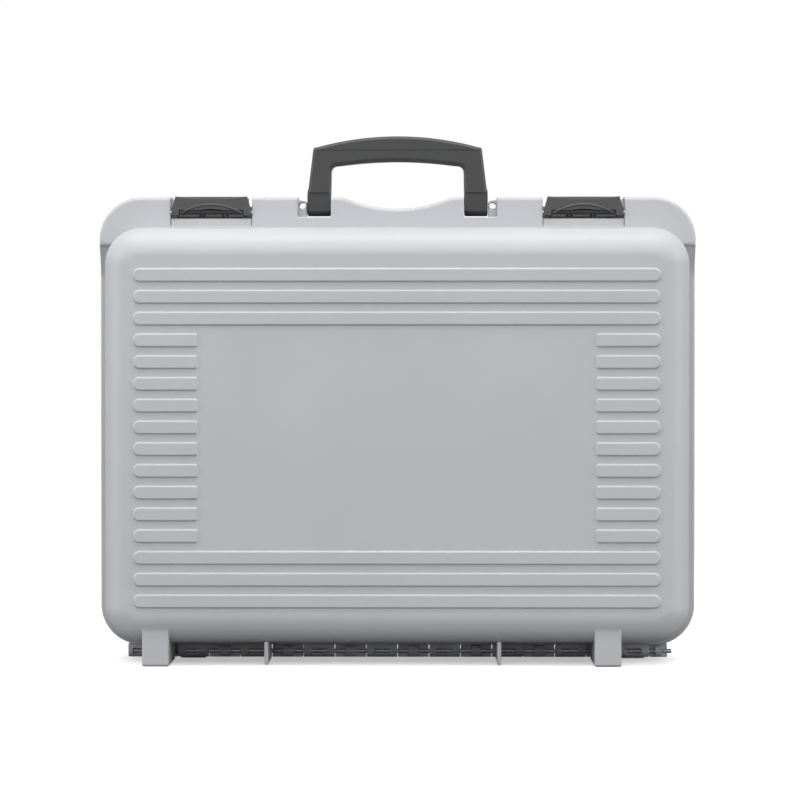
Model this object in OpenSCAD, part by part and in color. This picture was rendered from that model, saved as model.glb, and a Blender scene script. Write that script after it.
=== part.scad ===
// Carrying case for a camera drone: two moulded half shells on a wire hinge,
// a swinging handle, two snap latches and a cut foam lining.
// +Z is up with the case standing on its feet, -Y is the lid side, +X is to the right.

/* [Case] */
// Overall width across the rim
case_w = 500; // [480:1:520]
// Overall depth, over the ribs of both shells
case_d = 150; // [144:1:156]
// Height of the top edge above the floor
case_top = 389.2; // [386:0.1:394]
// Wall thickness of the shells
wall = 3; // [2.5:0.1:3.5]
// Gap between the two shells at the parting plane
parting_gap = 0.3; // [0.2:0.05:0.5]

/* [Panel] */
// Height of the bulged panel's lower edge at the parting plane
panel_bottom = 15.2; // [14.5:0.1:16]
// Height of the bulged panel's upper edge at the parting plane
panel_top = 364.9; // [362:0.1:367]
// Distance from the rim to the bulged panel on each side
rim_w = 5; // [4:0.5:6]
// Radius of the panel's front edge
edge_r = 24; // [20:0.5:26]
// How far the side walls lean in before the front edge starts
draft = 3.5; // [3:0.1:4]
// Upper corner radius of the panel
corner_top_r = 34; // [32:1:38]
// Lower corner radius of the panel and the rim
corner_bottom_r = 34; // [32:1:38]

/* [Ribs] */
// Number of rib rows on each shell
rib_rows = 16; // [12:2:16]
// Number of full-length rows above and below the flat field
rib_long_rows = 3; // [2:1:4]
// Distance between rows
rib_pitch = 17.83; // [17:0.01:18]
// Height of one rib
rib_h = 11.2; // [10:0.1:12]
// Half length of a full rib
rib_half_l = 216; // [212:1:217]
// Half width of the flat field between the short ribs
field_half_w = 163.5; // [150:0.5:175]
// How far the ribs stand out
rib_out = 1.5; // [1.2:0.1:2]

/* [Top band] */
// Half depth of the band that carries the handle and latches
band_half_d = 22; // [21:0.5:24]
// Height of the band
band_h = 42; // [40:1:44]
// Upper corner radius of the rim
rim_corner_r = 36; // [34:1:40]
// Thickness of the rim round the sides and bottom
rim_d = 7; // [5:0.5:7.5]
// Depth of the finger dip between the handle's legs
dip_depth = 9.7; // [8:0.1:11]
// Half width of the finger dip
dip_half_w = 45; // [42:0.5:45]

/* [Hinge] */
// Height of the hinge pin's axis
hinge_z = 6.9; // [6.6:0.1:7.1]
// Radius of the hinge pin
hinge_pin_r = 1.8; // [1.6:0.1:2]
// Outer radius of a knuckle
knuckle_r = 5.1; // [4.8:0.1:5.3]
// Distance between knuckle centres
knuckle_pitch = 26.5; // [26:0.1:27]
// Length of the short knuckle at the end of the row
end_knuckle_l = 15.5; // [14:0.5:16]

/* [Feet] */
// Width of a foot
foot_w = 22; // [20:0.5:24]
// Places of the lid's two feet along the width
foot_x = [-198.4, 173.4];
// Places of the lid's two bottom fins along the width
fin_x = [-107.7, 84.3];
// Thickness of a bottom fin
fin_w = 3.4; // [3:0.1:4]

/* [Handle] */
// Height of the handle's pivot axis
pivot_z = 385.4; // [385:0.1:386]
// Height of the handle's highest point
handle_top = 440.7; // [436:0.1:445]
// Inner face of a leg
leg_in = 56.1; // [56:0.1:56.2]
// Outer face of a leg at its lower end
leg_out = 75.9; // [75:0.1:76]
// Thickness of the handle, front to back
handle_d = 20; // [18:0.5:22]
// Radius of a handle pin
handle_pin_r = 2.5; // [2:0.1:2.5]

/* [Latches] */
// Distance of each latch from the middle of the case
latch_x = 155.7; // [150:0.1:160]
// Width of the latch recess
recess_w = 68.4; // [66:0.1:70]
// Height of the latch's pivot axis
latch_z = 376; // [375.5:0.1:376.5]
// Distance of the latch's pivot axis from the parting plane
latch_y = 20; // [19.5:0.1:20.5]
// Radius of a latch pin
latch_pin_r = 1.5; // [1.3:0.1:1.6]

/* [Padlock eyelets] */
// Distance of each eyelet from the middle of the case
eyelet_x = 80.1; // [79.8:0.1:80.2]
// Height of the eyelets
eyelet_z = 382.5; // [381:0.1:383]
// Radius of an eyelet
eyelet_r = 2.8; // [2.5:0.1:2.8]

/* [Foam] */
// Thickness of the cut foam tray
tray_d = 50; // [40:1:50]
// Thickness of a battery divider
divider_w = 8; // [6:1:12]

/* [Hidden] */

SHELL = [0.68, 0.685, 0.70];
DARK = [0.27, 0.27, 0.28];
STEEL = [0.75, 0.75, 0.76];
FOAM = [0.20, 0.20, 0.21];

eps = 0.01;
over = 1;
arc_steps = 8;
running = 0.05;
half_w = case_w / 2;
half_d = case_d / 2;
split = parting_gap / 2;
face_y = half_d - rib_out;
rim_bottom = hinge_z + knuckle_r + 0.6;
rib_drop = 2.2;
rib_mid_z = (panel_top + panel_bottom) / 2 - rib_drop;
rib_root = 0.5;
panel_half_w = half_w - rim_w;
band_z = case_top - band_h;

// Hinge: a knuckle is closed for a third of its length at each end
knuckle_gap = 0.25;
knuckle_slot_y = 0.9;
knuckle_window_h = 6;
hinge_pin_ends = [-226, 231];

// Feet and fins: how far they run back and up into the panel
foot_y = [-70, -8];
foot_h = 26;
fin_y = [-60, -8];
fin_z = [0.8, 20];

// Pockets for the handle's legs, open to the front, the back and the top
pocket_in = leg_in - 0.5;
pocket_out = 83.7;
pocket_floor = 372;
tab_d = 8;
tab_in = leg_out + 0.5;
tab_top = 387;

// Lugs of the base, which hold the handle's pins and reach through a notch in the lid
lug_in = 46.7;
lug_out = pocket_in - 0.3;
lug_y = -8.5;
lug_z = 377;
lug_fit = 0.5;

// Handle: the grip's upper and lower edges are arcs
leg_end_r = 11.7;
leg_pin_end = 70;
leg_lean = 0.6;
grip_half_l = 51;
grip_drop = 24.9;
grip_sag = 3.8;
top_half_l = 71;
top_rise = 10.1;
dip_r = (dip_half_w * dip_half_w + dip_depth * dip_depth) / (2 * dip_depth);

// Hollows in the back of the band
cell_edge = recess_w / 2 + 6;
cell_end = 222;
cell_half_w = 28;
cell_mid_half_w = 43;

// Latch recess and lever
notch_z = 381;
recess_bottom = 364.5;
recess_y = 14.5;
plate = 2.5;
inner_plate = 2;
latch_front = latch_y + 3.5;
latch_foot_w = recess_w / 2 - 0.7;
latch_top_w = 30;
barrel_r = 3;
arch_half_w = 26;
arch_rise = 8;
arch_r = (arch_half_w * arch_half_w + arch_rise * arch_rise) / (2 * arch_rise);
hook_y = 8;
hook_half_w = 20;
hook_gap = [0.6, 0.5];
bead_half_w = 24;
bead = [2.5, 4.9, 383.8];
latch_pin_half_l = recess_w / 2 + 3.8;

// Foam lining
lining_gap = 0.8;
tray_front = 2;
tray_back = tray_front + tray_d;
deep_inset = 24;
foam_corner_r = 28;
foam_back = face_y - wall - lining_gap;
bays = [
    [-205, -8, 185, 330],
    [14, 205, 196, 330],
    [-205, -20, 55, 150],
    [6, 205, 55, 160]
];
divider_x = [-147.5, -85.5];
cover_d = 14;
cover_r = 8;
foam_fit = 0.4;
divider_drop = 6;
sheet_front = 6;

function arc(cx, cz, r, a0, a1) =
    [for (i = [0:arc_steps]) let (a = a0 + (a1 - a0) * i / arc_steps) [cx + r * cos(a), cz + r * sin(a)]];

// Outline of a rounded panel, with different lower and upper corner radii
function outline(x0, x1, z0, z1, rb, rt) = concat(
    arc(x0 + rb, z0 + rb, rb, 180, 270),
    arc(x1 - rb, z0 + rb, rb, 270, 360),
    arc(x1 - rt, z1 - rt, rt, 0, 90),
    arc(x0 + rt, z1 - rt, rt, 90, 180));

// Bulged panel's outline, moved in by a distance
function panel_outline(inset) = outline(
    -panel_half_w + inset, panel_half_w - inset,
    panel_bottom + inset, panel_top - inset,
    corner_bottom_r - inset, corner_top_r - inset);

// Extrudes an X-Z outline along Y
module slab(y0, y1) {
    translate([0, y1, 0]) rotate([90, 0, 0]) linear_extrude(y1 - y0) children();
}

// Round bar along X
module x_bar(x0, x1, y, z, r) {
    translate([x0, y, z]) rotate([0, 90, 0]) cylinder(h = x1 - x0, r = r, $fn = 48);
}

module block(x0, x1, y0, y1, z0, z1) {
    translate([x0, y0, z0]) cube([x1 - x0, y1 - y0, z1 - z0]);
}

// Same child at the left and the right
module both_sides() {
    children();
    mirror([1, 0, 0]) children();
}

// Solid of the bulged panel, or of the space inside it when moved in by the wall
module bulge(inset) {
    r = edge_r - inset;
    base_y = face_y - edge_r;
    hull() {
        slab(-eps, 0) polygon(panel_outline(inset));
        for (a = [0:15:90])
            slab(-base_y - r * sin(a) - eps / 2, -base_y - r * sin(a) + eps / 2)
                polygon(panel_outline(inset + draft + r * (1 - cos(a))));
    }
}

module rib(x0, x1, z) {
    slab(-half_d, -face_y + rib_root)
        polygon(outline(x0, x1, z - rib_h / 2, z + rib_h / 2, rib_h / 2 - eps, rib_h / 2 - eps));
}

module ribs() {
    for (i = [0:rib_rows - 1]) {
        z = rib_mid_z + ((rib_rows - 1) / 2 - i) * rib_pitch;
        if (i < rib_long_rows || i >= rib_rows - rib_long_rows)
            rib(-rib_half_l, rib_half_l, z);
        else
            both_sides() rib(field_half_w, rib_half_l, z);
    }
}

// One knuckle of the lid: closed in front at its ends and behind in its middle
module knuckle(x0, x1) {
    third = (x1 - x0) / 3;
    a = x0 + knuckle_gap;
    b = x1 - knuckle_gap;
    half_h = knuckle_window_h / 2;
    difference() {
        union() {
            x_bar(a, b, 0, hinge_z, knuckle_r);
            block(a, b, -knuckle_r, -split, hinge_z, rim_bottom + over);
        }
        block(x0 + third, x1 - third, -knuckle_r - over, -knuckle_slot_y, hinge_z - half_h, hinge_z + half_h);
        block(x0 - over, x0 + third, knuckle_slot_y, knuckle_r + over, 0, rim_bottom + 2 * over);
        block(x1 - third, x1 + over, knuckle_slot_y, knuckle_r + over, 0, rim_bottom + 2 * over);
    }
}

// The lid's knuckles fill every second place, and the base's fill the others
module knuckles() {
    for (k = [-7:2:7]) knuckle(k * knuckle_pitch, (k + 1) * knuckle_pitch);
    knuckle(-8 * knuckle_pitch - end_knuckle_l, -8 * knuckle_pitch);
}

module feet() {
    for (x = foot_x)
        block(x - foot_w / 2, x + foot_w / 2, foot_y[0], foot_y[1], 0, foot_h);
    for (x = fin_x)
        block(x - fin_w / 2, x + fin_w / 2, fin_y[0], fin_y[1], fin_z[0], fin_z[1]);
}

module foot_hollows() {
    for (x = foot_x)
        block(x - foot_w / 2 + wall, x + foot_w / 2 - wall, foot_y[0] + wall, foot_y[1] - wall, wall, foot_h);
}

// Space that the handle's leg swings in, leaving the eyelet's tab
module leg_pocket() {
    difference() {
        block(pocket_in, pocket_out, -band_half_d - over, over, pocket_floor, case_top + over);
        block(tab_in, pocket_out + over, -tab_d, 2 * over, pocket_floor - over, tab_top);
    }
}

module latch_recess() {
    x0 = latch_x - recess_w / 2;
    x1 = latch_x + recess_w / 2;
    block(x0, x1, -band_half_d - over, over, notch_z, case_top + over);
    block(x0, x1, -band_half_d - over, -recess_y, recess_bottom, notch_z + over);
}

// Hollows in the back of the band that keep its walls thin
module band_cells() {
    low = panel_top + wall;
    block(pocket_out + wall, latch_x - cell_edge, -band_half_d + wall, over, low, case_top - wall);
    block(latch_x + cell_edge, cell_end, -band_half_d + wall, over, low, case_top - 2 * wall);
    block(latch_x - cell_half_w, latch_x + cell_half_w, -recess_y + wall, over, low, notch_z - wall);
}

// Half shell on the -Y side, with everything that both halves have
module half_shell() {
    difference() {
        union() {
            bulge(0);
            slab(-rim_d, 0)
                polygon(outline(-half_w, half_w, rim_bottom, case_top, corner_bottom_r, rim_corner_r));
            intersection() {
                slab(-band_half_d, 0)
                    polygon(outline(-half_w, half_w, rim_bottom, case_top, corner_bottom_r, rim_corner_r));
                block(-half_w, half_w, -half_d, over, band_z, case_top + over);
            }
            ribs();
            feet();
            knuckles();
        }
        bulge(wall);
        foot_hollows();
        both_sides() {
            leg_pocket();
            latch_recess();
            band_cells();
        }
        block(-cell_mid_half_w, cell_mid_half_w, -band_half_d + wall, over,
            panel_top + wall, case_top - dip_depth - wall);
        translate([0, over, case_top - dip_depth + dip_r]) rotate([90, 0, 0])
            cylinder(h = band_half_d + 2 * over, r = dip_r, $fn = 128);
        both_sides()
            translate([eyelet_x, over, eyelet_z]) rotate([90, 0, 0])
                cylinder(h = tab_d + 2 * over, r = eyelet_r, $fn = 48);
        both_sides()
            x_bar(latch_x - latch_pin_half_l, latch_x + latch_pin_half_l, -latch_y, latch_z, latch_pin_r);
        x_bar(-half_w, half_w, 0, hinge_z, hinge_pin_r + running);
        parting_cut();
    }
}

// Trims everything above the hinge back from the parting plane
module parting_cut() {
    block(-half_w - over, half_w + over, -split, 2 * over, rim_bottom - 0.5, case_top + 2 * over);
}

module front_shell() {
    color(SHELL) difference() {
        half_shell();
        both_sides()
            block(lug_in - lug_fit, pocket_in + over, lug_y - lug_fit, over, lug_z - over, case_top + over);
    }
}

// The base also has the handle's lugs and the beads that the latches snap over
module rear_shell() {
    color(SHELL) difference() {
        union() {
            rotate([0, 0, 180]) half_shell();
            both_sides() {
                block(lug_in, lug_out, lug_y, band_half_d - over, lug_z, case_top - 0.3);
                block(latch_x - bead_half_w, latch_x + bead_half_w, bead[0], bead[1],
                    notch_z - over, bead[2]);
            }
        }
        both_sides() x_bar(lug_in - over, pocket_in + over, 0, pivot_z, handle_pin_r);
    }
}

module hinge_pin() {
    color(STEEL) x_bar(hinge_pin_ends[0], hinge_pin_ends[1], 0, hinge_z, hinge_pin_r);
}

// Outline of the handle seen from the front
function handle_outline() =
    let (grip_z = handle_top - grip_drop,
        top_r = (top_half_l * top_half_l + top_rise * top_rise) / (2 * top_rise),
        grip_r = (grip_half_l * grip_half_l + grip_sag * grip_sag) / (2 * grip_sag),
        top_a = asin(top_half_l / top_r),
        grip_a = asin(grip_half_l / grip_r),
        corner_z = grip_z - grip_sag)
    concat(
        [[leg_out, pivot_z]],
        arc(0, handle_top - top_r, top_r, 90 - top_a, 90 + top_a),
        [[-leg_out, pivot_z], [-leg_in, pivot_z], [-leg_in + leg_lean, corner_z]],
        arc(0, grip_z + grip_sag - grip_r, grip_r, 90 + grip_a, 90 - grip_a),
        [[leg_in - leg_lean, corner_z], [leg_in, pivot_z]]);

module handle() {
    color(DARK) difference() {
        union() {
            slab(-handle_d / 2, handle_d / 2) polygon(handle_outline());
            both_sides() x_bar(leg_in, leg_out, 0, pivot_z, leg_end_r);
        }
        both_sides() x_bar(leg_in - over, leg_pin_end + 0.5, 0, pivot_z, handle_pin_r + running);
    }
}

module handle_pin(side) {
    color(STEEL)
        x_bar(side > 0 ? lug_in : -leg_pin_end, side > 0 ? leg_pin_end : -lug_in, 0, pivot_z, handle_pin_r);
}

module latch(side) {
    inner_y = -latch_y + 1.4;
    side_x = latch_top_w - 1;
    color(DARK) translate([side * latch_x, 0, 0]) difference() {
        union() {
            difference() {
                slab(-latch_front, -latch_front + plate)
                    polygon([[-latch_foot_w, latch_z], [latch_foot_w, latch_z],
                        [latch_top_w, case_top], [-latch_top_w, case_top]]);
                translate([0, 0, latch_z - 2 + arch_rise - arch_r]) rotate([90, 0, 0])
                    cylinder(h = half_d, r = arch_r, $fn = 96);
            }
            block(-latch_top_w, latch_top_w, -latch_front, hook_y, case_top - plate, case_top);
            block(-hook_half_w, hook_half_w, bead[1] + hook_gap[0], hook_y,
                bead[2] + hook_gap[1], case_top - over);
            block(-latch_top_w, latch_top_w, inner_y, inner_y + inner_plate, latch_z, case_top - over);
            for (s = [-1, 1])
                block(s * side_x - 1, s * side_x + 1, -latch_front, inner_y + inner_plate,
                    latch_z, case_top - over);
            x_bar(-latch_foot_w, latch_foot_w, -latch_y, latch_z, barrel_r);
        }
        x_bar(-recess_w, recess_w, -latch_y, latch_z, latch_pin_r + running);
    }
}

module latch_pin(side) {
    x = side * latch_x;
    end = latch_pin_half_l - 0.2;
    color(STEEL) x_bar(x - end, x + end, -latch_y, latch_z, latch_pin_r);
}

// Outline of the foam in the straight-sided part of a shell
function lining_outline() =
    let (inset = draft + wall + lining_gap)
    outline(-panel_half_w + inset, panel_half_w - inset, panel_bottom + inset, panel_top - inset,
        corner_bottom_r - draft, foam_corner_r);

module foam_base_pad() {
    color(FOAM) slab(tray_back + 0.3, foam_back)
        polygon(panel_outline(draft + deep_inset + lining_gap));
}

module foam_tray() {
    color(FOAM) difference() {
        slab(tray_front, tray_back)
            polygon(lining_outline());
        for (b = bays)
            block(b[0], b[1], tray_front - over, tray_back + over, b[2], b[3]);
    }
}

// Loose strip that parts the battery bay
module foam_divider(i) {
    bay = bays[2];
    color(FOAM) block(divider_x[i], divider_x[i] + divider_w,
        tray_front + divider_drop, tray_back, bay[2] + foam_fit, bay[3] - foam_fit);
}

// Loose pad that lies over the accessories and lifts out by hand
module foam_accessory_cover() {
    bay = bays[3];
    color(FOAM) slab(tray_front, tray_front + cover_d)
        polygon(outline(bay[0] + foam_fit, bay[1] - foam_fit, bay[2] + foam_fit, bay[3] - foam_fit,
            cover_r, cover_r));
}

module foam_lid_sheet() {
    color(FOAM) {
        slab(-foam_back, -tray_back + over) polygon(panel_outline(draft + deep_inset + lining_gap));
        slab(-tray_back, -sheet_front) polygon(lining_outline());
    }
}

rear_shell();
front_shell();
hinge_pin();
handle();
handle_pin(-1);  // handle_pin_left
handle_pin(1);  // handle_pin_right
latch(-1);  // latch_left
latch(1);  // latch_right
latch_pin(-1);  // latch_pin_left
latch_pin(1);  // latch_pin_right
foam_base_pad();
foam_tray();
foam_divider(0);  // foam_divider_left
foam_divider(1);  // foam_divider_right
foam_accessory_cover();
foam_lid_sheet();
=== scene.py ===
"""Drone carrying case: mouldings, handle, latches, wire hinge and foam lining around the CAD frame."""

import math

import bmesh
import bpy
from mathutils import Matrix, Vector


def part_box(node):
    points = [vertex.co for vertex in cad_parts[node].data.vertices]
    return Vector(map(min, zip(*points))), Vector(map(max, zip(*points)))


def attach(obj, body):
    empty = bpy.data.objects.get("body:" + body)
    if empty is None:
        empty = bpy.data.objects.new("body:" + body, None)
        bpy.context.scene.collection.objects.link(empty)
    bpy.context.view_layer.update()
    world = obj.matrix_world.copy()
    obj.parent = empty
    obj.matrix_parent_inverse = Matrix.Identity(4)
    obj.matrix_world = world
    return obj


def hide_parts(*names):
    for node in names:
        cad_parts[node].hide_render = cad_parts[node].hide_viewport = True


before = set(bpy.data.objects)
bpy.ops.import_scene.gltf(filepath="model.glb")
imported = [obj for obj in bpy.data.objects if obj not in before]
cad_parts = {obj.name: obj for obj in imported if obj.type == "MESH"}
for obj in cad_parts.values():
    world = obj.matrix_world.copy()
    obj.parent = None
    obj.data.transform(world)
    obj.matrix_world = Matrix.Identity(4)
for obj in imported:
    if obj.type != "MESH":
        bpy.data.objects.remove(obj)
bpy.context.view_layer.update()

MM = 0.001
TAU = 2 * math.pi


# ---------------------------------------------------------------- driving sizes, in millimetres

def box_mm(node):
    """A node's lowest and highest corners in millimetres."""
    low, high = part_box(node)
    return [v / MM for v in low], [v / MM for v in high]


shell_low, shell_high = box_mm("front_shell")
handle_high = box_mm("handle")[1]
latch_low, latch_high = box_mm("latch_right")
pin_low, pin_high = box_mm("hinge_pin")
tray_low, tray_high = box_mm("foam_tray")
sheet_low, sheet_high = box_mm("foam_lid_sheet")
pad_low, pad_high = box_mm("foam_base_pad")
cover_low, cover_high = box_mm("foam_accessory_cover")

HALF_W = shell_high[0]
TOP = shell_high[2]
FRONT = shell_low[1]
SPLIT = 0.15
WALL = 3.0
RIM_BOTTOM = 12.6
RIM_D = 7.0
RIM_CORNER = 36.0
BAND_H = 42.0
BAND_D = 22.0
BAND_STEP = 0.5

PANEL_BOTTOM = 15.2
PANEL_TOP = 364.9
PANEL_HALF_W = HALF_W - 5.0
RIB_OUT = 1.5
PANEL_FACE = -FRONT - RIB_OUT
EDGE_R = 24.0
DRAFT = 3.5
CORNER_TOP = 34.0
CORNER_BOTTOM = 34.0

RIB_ROWS = 16
RIB_LONG_ROWS = 3
RIB_PITCH = 17.83
RIB_H = 11.2
RIB_HALF_L = 216.0
FIELD_HALF_W = 163.5
RIB_MID_Z = (PANEL_TOP + PANEL_BOTTOM) / 2 - 2.2

HINGE_Z = (pin_low[2] + pin_high[2]) / 2
PIN_R = (pin_high[2] - pin_low[2]) / 2
KNUCKLE_R = 5.1
KNUCKLE_PITCH = 26.5
KNUCKLE_GAP = 0.25
END_KNUCKLE_L = 15.5

FOOT_X = (-198.4, 173.4)
FOOT_W = 22.0
FOOT_FRONT = -70.0
FIN_X = (-107.7, 84.3)
FIN_W = 3.4
FIN_Z = (0.8, 20.0)
FIN_FRONT = -60.0
FOOT_BACK = -8.0

PIVOT_Z = 385.4
HANDLE_TOP = handle_high[2]
HANDLE_HALF_D = 10.0
HANDLE_PIN_R = 2.5
GRIP_TOP_HALF_L = 71.0
GRIP_TOP_RISE = 10.1
GRIP_HALF_L = 51.0
GRIP_DROP = 24.9
GRIP_SAG = 3.8
LEG_IN = 56.1
LEG_OUT = handle_high[0]
LEG_END_R = 11.7
POCKET_IN = LEG_IN - 0.5
POCKET_OUT = 83.7
POCKET_FLOOR = 372.0
TAB_IN = LEG_OUT + 0.5
TAB_TOP = 387.0
TAB_D = 8.0
EYELET_X = 80.1
EYELET_Z = 382.5
EYELET_R = 2.8
DIP_DEPTH = 9.7
DIP_HALF_W = 45.0
LUG_IN = 46.7
LUG_OUT = POCKET_IN - 0.3
LUG_Y = -8.5
LUG_Z = 377.0
LUG_FIT = 0.5

LATCH_X = (latch_low[0] + latch_high[0]) / 2
RECESS_HALF_W = 34.2
NOTCH_Z = 381.0
RECESS_BOTTOM = 364.5
RECESS_Y = 14.5
LATCH_Y = 20.0
LATCH_Z = 376.0
LATCH_PIN_R = 1.5
LATCH_FOOT_W = RECESS_HALF_W - 0.7
LATCH_TOP_W = 30.0
LATCH_FRONT = -LATCH_Y - 3.5
LATCH_SAG = 1.8
HOOK_Y = 8.0
HOOK_HALF_W = 20.0
BEAD_TOP = 383.8
BEAD_HALF_W = 24.0
BEAD_Y = (2.5, 4.9)
SHELF_TOP = 370.6
SHELF_GAP = 0.55

CELL_LOW = PANEL_TOP + WALL
CELL_EDGE = RECESS_HALF_W + 6
CELL_END = 222.0
CELL_HALF_W = 28.0
MIDDLE_CELL_HALF_W = 43.0
RUNNING = 0.05


# ---------------------------------------------------------------- mesh tools

def new_object(name, verts, faces):
    """Object from points in millimetres."""
    mesh = bpy.data.meshes.new(name)
    mesh.from_pydata([tuple(c * MM for c in v) for v in verts], [], faces)
    mesh.validate()
    obj = bpy.data.objects.new(name, mesh)
    bpy.context.scene.collection.objects.link(obj)
    fix_normals(obj)
    return obj


def fix_normals(obj):
    bm = bmesh.new()
    bm.from_mesh(obj.data)
    bmesh.ops.recalc_face_normals(bm, faces=bm.faces)
    bm.to_mesh(obj.data)
    bm.free()


def arc(cx, cz, r, a0, a1, steps):
    """Points of an arc, angles in degrees."""
    angles = [math.radians(a0 + (a1 - a0) * i / steps) for i in range(steps + 1)]
    return [(cx + r * math.cos(a), cz + r * math.sin(a)) for a in angles]


def rounded(x0, x1, z0, z1, radii, steps=14):
    """Closed outline with radii for the lower left, lower right, upper right and upper left corners."""
    a, b, c, d = radii
    return (arc(x0 + a, z0 + a, a, 180, 270, steps) + arc(x1 - b, z0 + b, b, 270, 360, steps)
            + arc(x1 - c, z1 - c, c, 0, 90, steps) + arc(x0 + d, z1 - d, d, 90, 180, steps))


def inset(points, d):
    """The same anticlockwise outline moved inwards by d."""
    count = len(points)
    moved = []
    for i, (x, z) in enumerate(points):
        before, after = points[i - 1], points[(i + 1) % count]
        e0 = Vector((x - before[0], z - before[1]))
        e1 = Vector((after[0] - x, after[1] - z))
        if e0.length < 1e-6:
            e0 = e1
        if e1.length < 1e-6:
            e1 = e0
        n0 = Vector((-e0.y, e0.x)).normalized()
        n1 = Vector((-e1.y, e1.x)).normalized()
        mid = (n0 + n1).normalized()
        reach = d / max(0.35, mid.dot(n0))
        moved.append((x + mid.x * reach, z + mid.y * reach))
    return moved


def loft(name, levels):
    """Closed solid through outlines (x, z) at depths y: levels is a list of (y, outline)."""
    count = len(levels[0][1])
    verts = [(x, y, z) for y, points in levels for x, z in points]
    faces = [tuple(range(count - 1, -1, -1))]
    for k in range(len(levels) - 1):
        low, high = k * count, (k + 1) * count
        for i in range(count):
            j = (i + 1) % count
            faces.append((low + i, low + j, high + j, high + i))
    last = (len(levels) - 1) * count
    faces.append(tuple(range(last, last + count)))
    return new_object(name, verts, faces)


def soft_slab(name, points, y0, y1, r0=0.0, r1=0.0, steps=4):
    """Outline extruded from y0 to y1, its edges rounded by r0 and r1."""
    sign = 1 if y1 > y0 else -1
    levels = []
    for i in range(steps + 1 if r0 else 1):
        a = math.pi / 2 * (1 - i / steps) if r0 else 0
        levels.append((y0 + sign * r0 * (1 - math.sin(a)), inset(points, r0 * (1 - math.cos(a)))))
    for i in range(steps + 1 if r1 else 1):
        a = math.pi / 2 * i / steps if r1 else 0
        levels.append((y1 - sign * r1 * (1 - math.sin(a)), inset(points, r1 * (1 - math.cos(a)))))
    return loft(name, levels)


def block(x0, x1, y0, y1, z0, z1):
    return soft_slab("block", [(x0, z0), (x1, z0), (x1, z1), (x0, z1)], y0, y1)


def x_bar(x0, x1, y, z, r, steps=48, rounding=0.0):
    """Round bar along X, its ends rounded."""
    ends = [(x0, r - rounding), (x0 + rounding * 0.3, r - rounding * 0.3), (x0 + rounding, r),
            (x1 - rounding, r), (x1 - rounding * 0.3, r - rounding * 0.3), (x1, r - rounding)]
    if not rounding:
        ends = [(x0, r), (x1, r)]
    verts = [(x, y + q * math.cos(TAU * i / steps), z + q * math.sin(TAU * i / steps))
             for x, q in ends for i in range(steps)]
    faces = [tuple(range(steps - 1, -1, -1))]
    for k in range(len(ends) - 1):
        for i in range(steps):
            j = (i + 1) % steps
            faces.append((k * steps + i, k * steps + j, (k + 1) * steps + j, (k + 1) * steps + i))
    last = (len(ends) - 1) * steps
    faces.append(tuple(range(last, last + steps)))
    return new_object("bar", verts, faces)


def y_bar(x, z, r, y0, y1, steps=40):
    return soft_slab("bore", arc(x, z, r, 0, 360 - 360 / steps, steps - 1), y0, y1)


def apply(obj):
    """Replace an object's mesh with what its modifiers make of it."""
    graph = bpy.context.evaluated_depsgraph_get()
    graph.update()
    mesh = bpy.data.meshes.new_from_object(obj.evaluated_get(graph))
    old = obj.data
    obj.modifiers.clear()
    obj.data = mesh
    bpy.data.meshes.remove(old)
    return obj


def join(name, parts):
    """One object from several, each kept as its own island."""
    bm = bmesh.new()
    for part in parts:
        part.data.transform(part.matrix_world)
        bm.from_mesh(part.data)
    mesh = bpy.data.meshes.new(name)
    bm.to_mesh(mesh)
    bm.free()
    for part in parts:
        bpy.data.objects.remove(part)
    obj = bpy.data.objects.new(name, mesh)
    bpy.context.scene.collection.objects.link(obj)
    return obj


def combine(target, tools, operation):
    """Boolean of the target with a list of tools that don't touch each other, its slivers welded shut."""
    tool = join("tool", tools)
    modifier = target.modifiers.new("combine", "BOOLEAN")
    modifier.operation = operation
    modifier.solver = "EXACT"
    modifier.object = tool
    apply(target)
    bpy.data.objects.remove(tool)
    weld(target, 0.006)
    return target


def weld(obj, distance):
    """Merge points closer than distance, and drop what collapses."""
    bm = bmesh.new()
    bm.from_mesh(obj.data)
    bmesh.ops.remove_doubles(bm, verts=bm.verts, dist=distance * MM)
    bmesh.ops.dissolve_degenerate(bm, edges=bm.edges, dist=distance * MM / 2)
    bm.to_mesh(obj.data)
    bm.free()


def cut(target, tools):
    return combine(target, tools, "DIFFERENCE")


def fuse(target, tools):
    return combine(target, tools, "UNION")


def shade(obj, angle=35):
    """Smooth shading that keeps flat faces flat."""
    for polygon in obj.data.polygons:
        polygon.use_smooth = True
    obj.data.set_sharp_from_angle(angle=math.radians(angle))
    modifier = obj.modifiers.new("normals", "WEIGHTED_NORMAL")
    modifier.keep_sharp = True
    modifier.weight = 100
    return apply(obj)


def turned(obj):
    """Turn a piece made for the lid half a turn about Z, to the base's side."""
    obj.data.transform(Matrix.Rotation(math.pi, 4, "Z"))
    return obj


def mirrored(points):
    return [(-x, z) for x, z in reversed(points)]


def place(obj, name, body, material, nodes=()):
    """Name a finished piece, give it its material and its body, and hide the CAD nodes it stands for."""
    obj.name = name
    obj.data.name = name
    obj.data.materials.clear()
    obj.data.materials.append(material)
    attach(obj, body)
    if nodes:
        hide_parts(*nodes)
    return obj


# ---------------------------------------------------------------- materials

def node_material(name):
    material = bpy.data.materials.new(name)
    material.use_nodes = True
    tree = material.node_tree
    shader = tree.nodes["Principled BSDF"]
    coords = tree.nodes.new("ShaderNodeTexCoord")
    return material, tree, shader, coords.outputs["Object"]


def noise_node(tree, coords, scale, detail=3.0, roughness=0.5):
    node = tree.nodes.new("ShaderNodeTexNoise")
    node.inputs["Scale"].default_value = scale
    node.inputs["Detail"].default_value = detail
    node.inputs["Roughness"].default_value = roughness
    tree.links.new(coords, node.inputs["Vector"])
    return node.outputs["Fac"]


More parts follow.
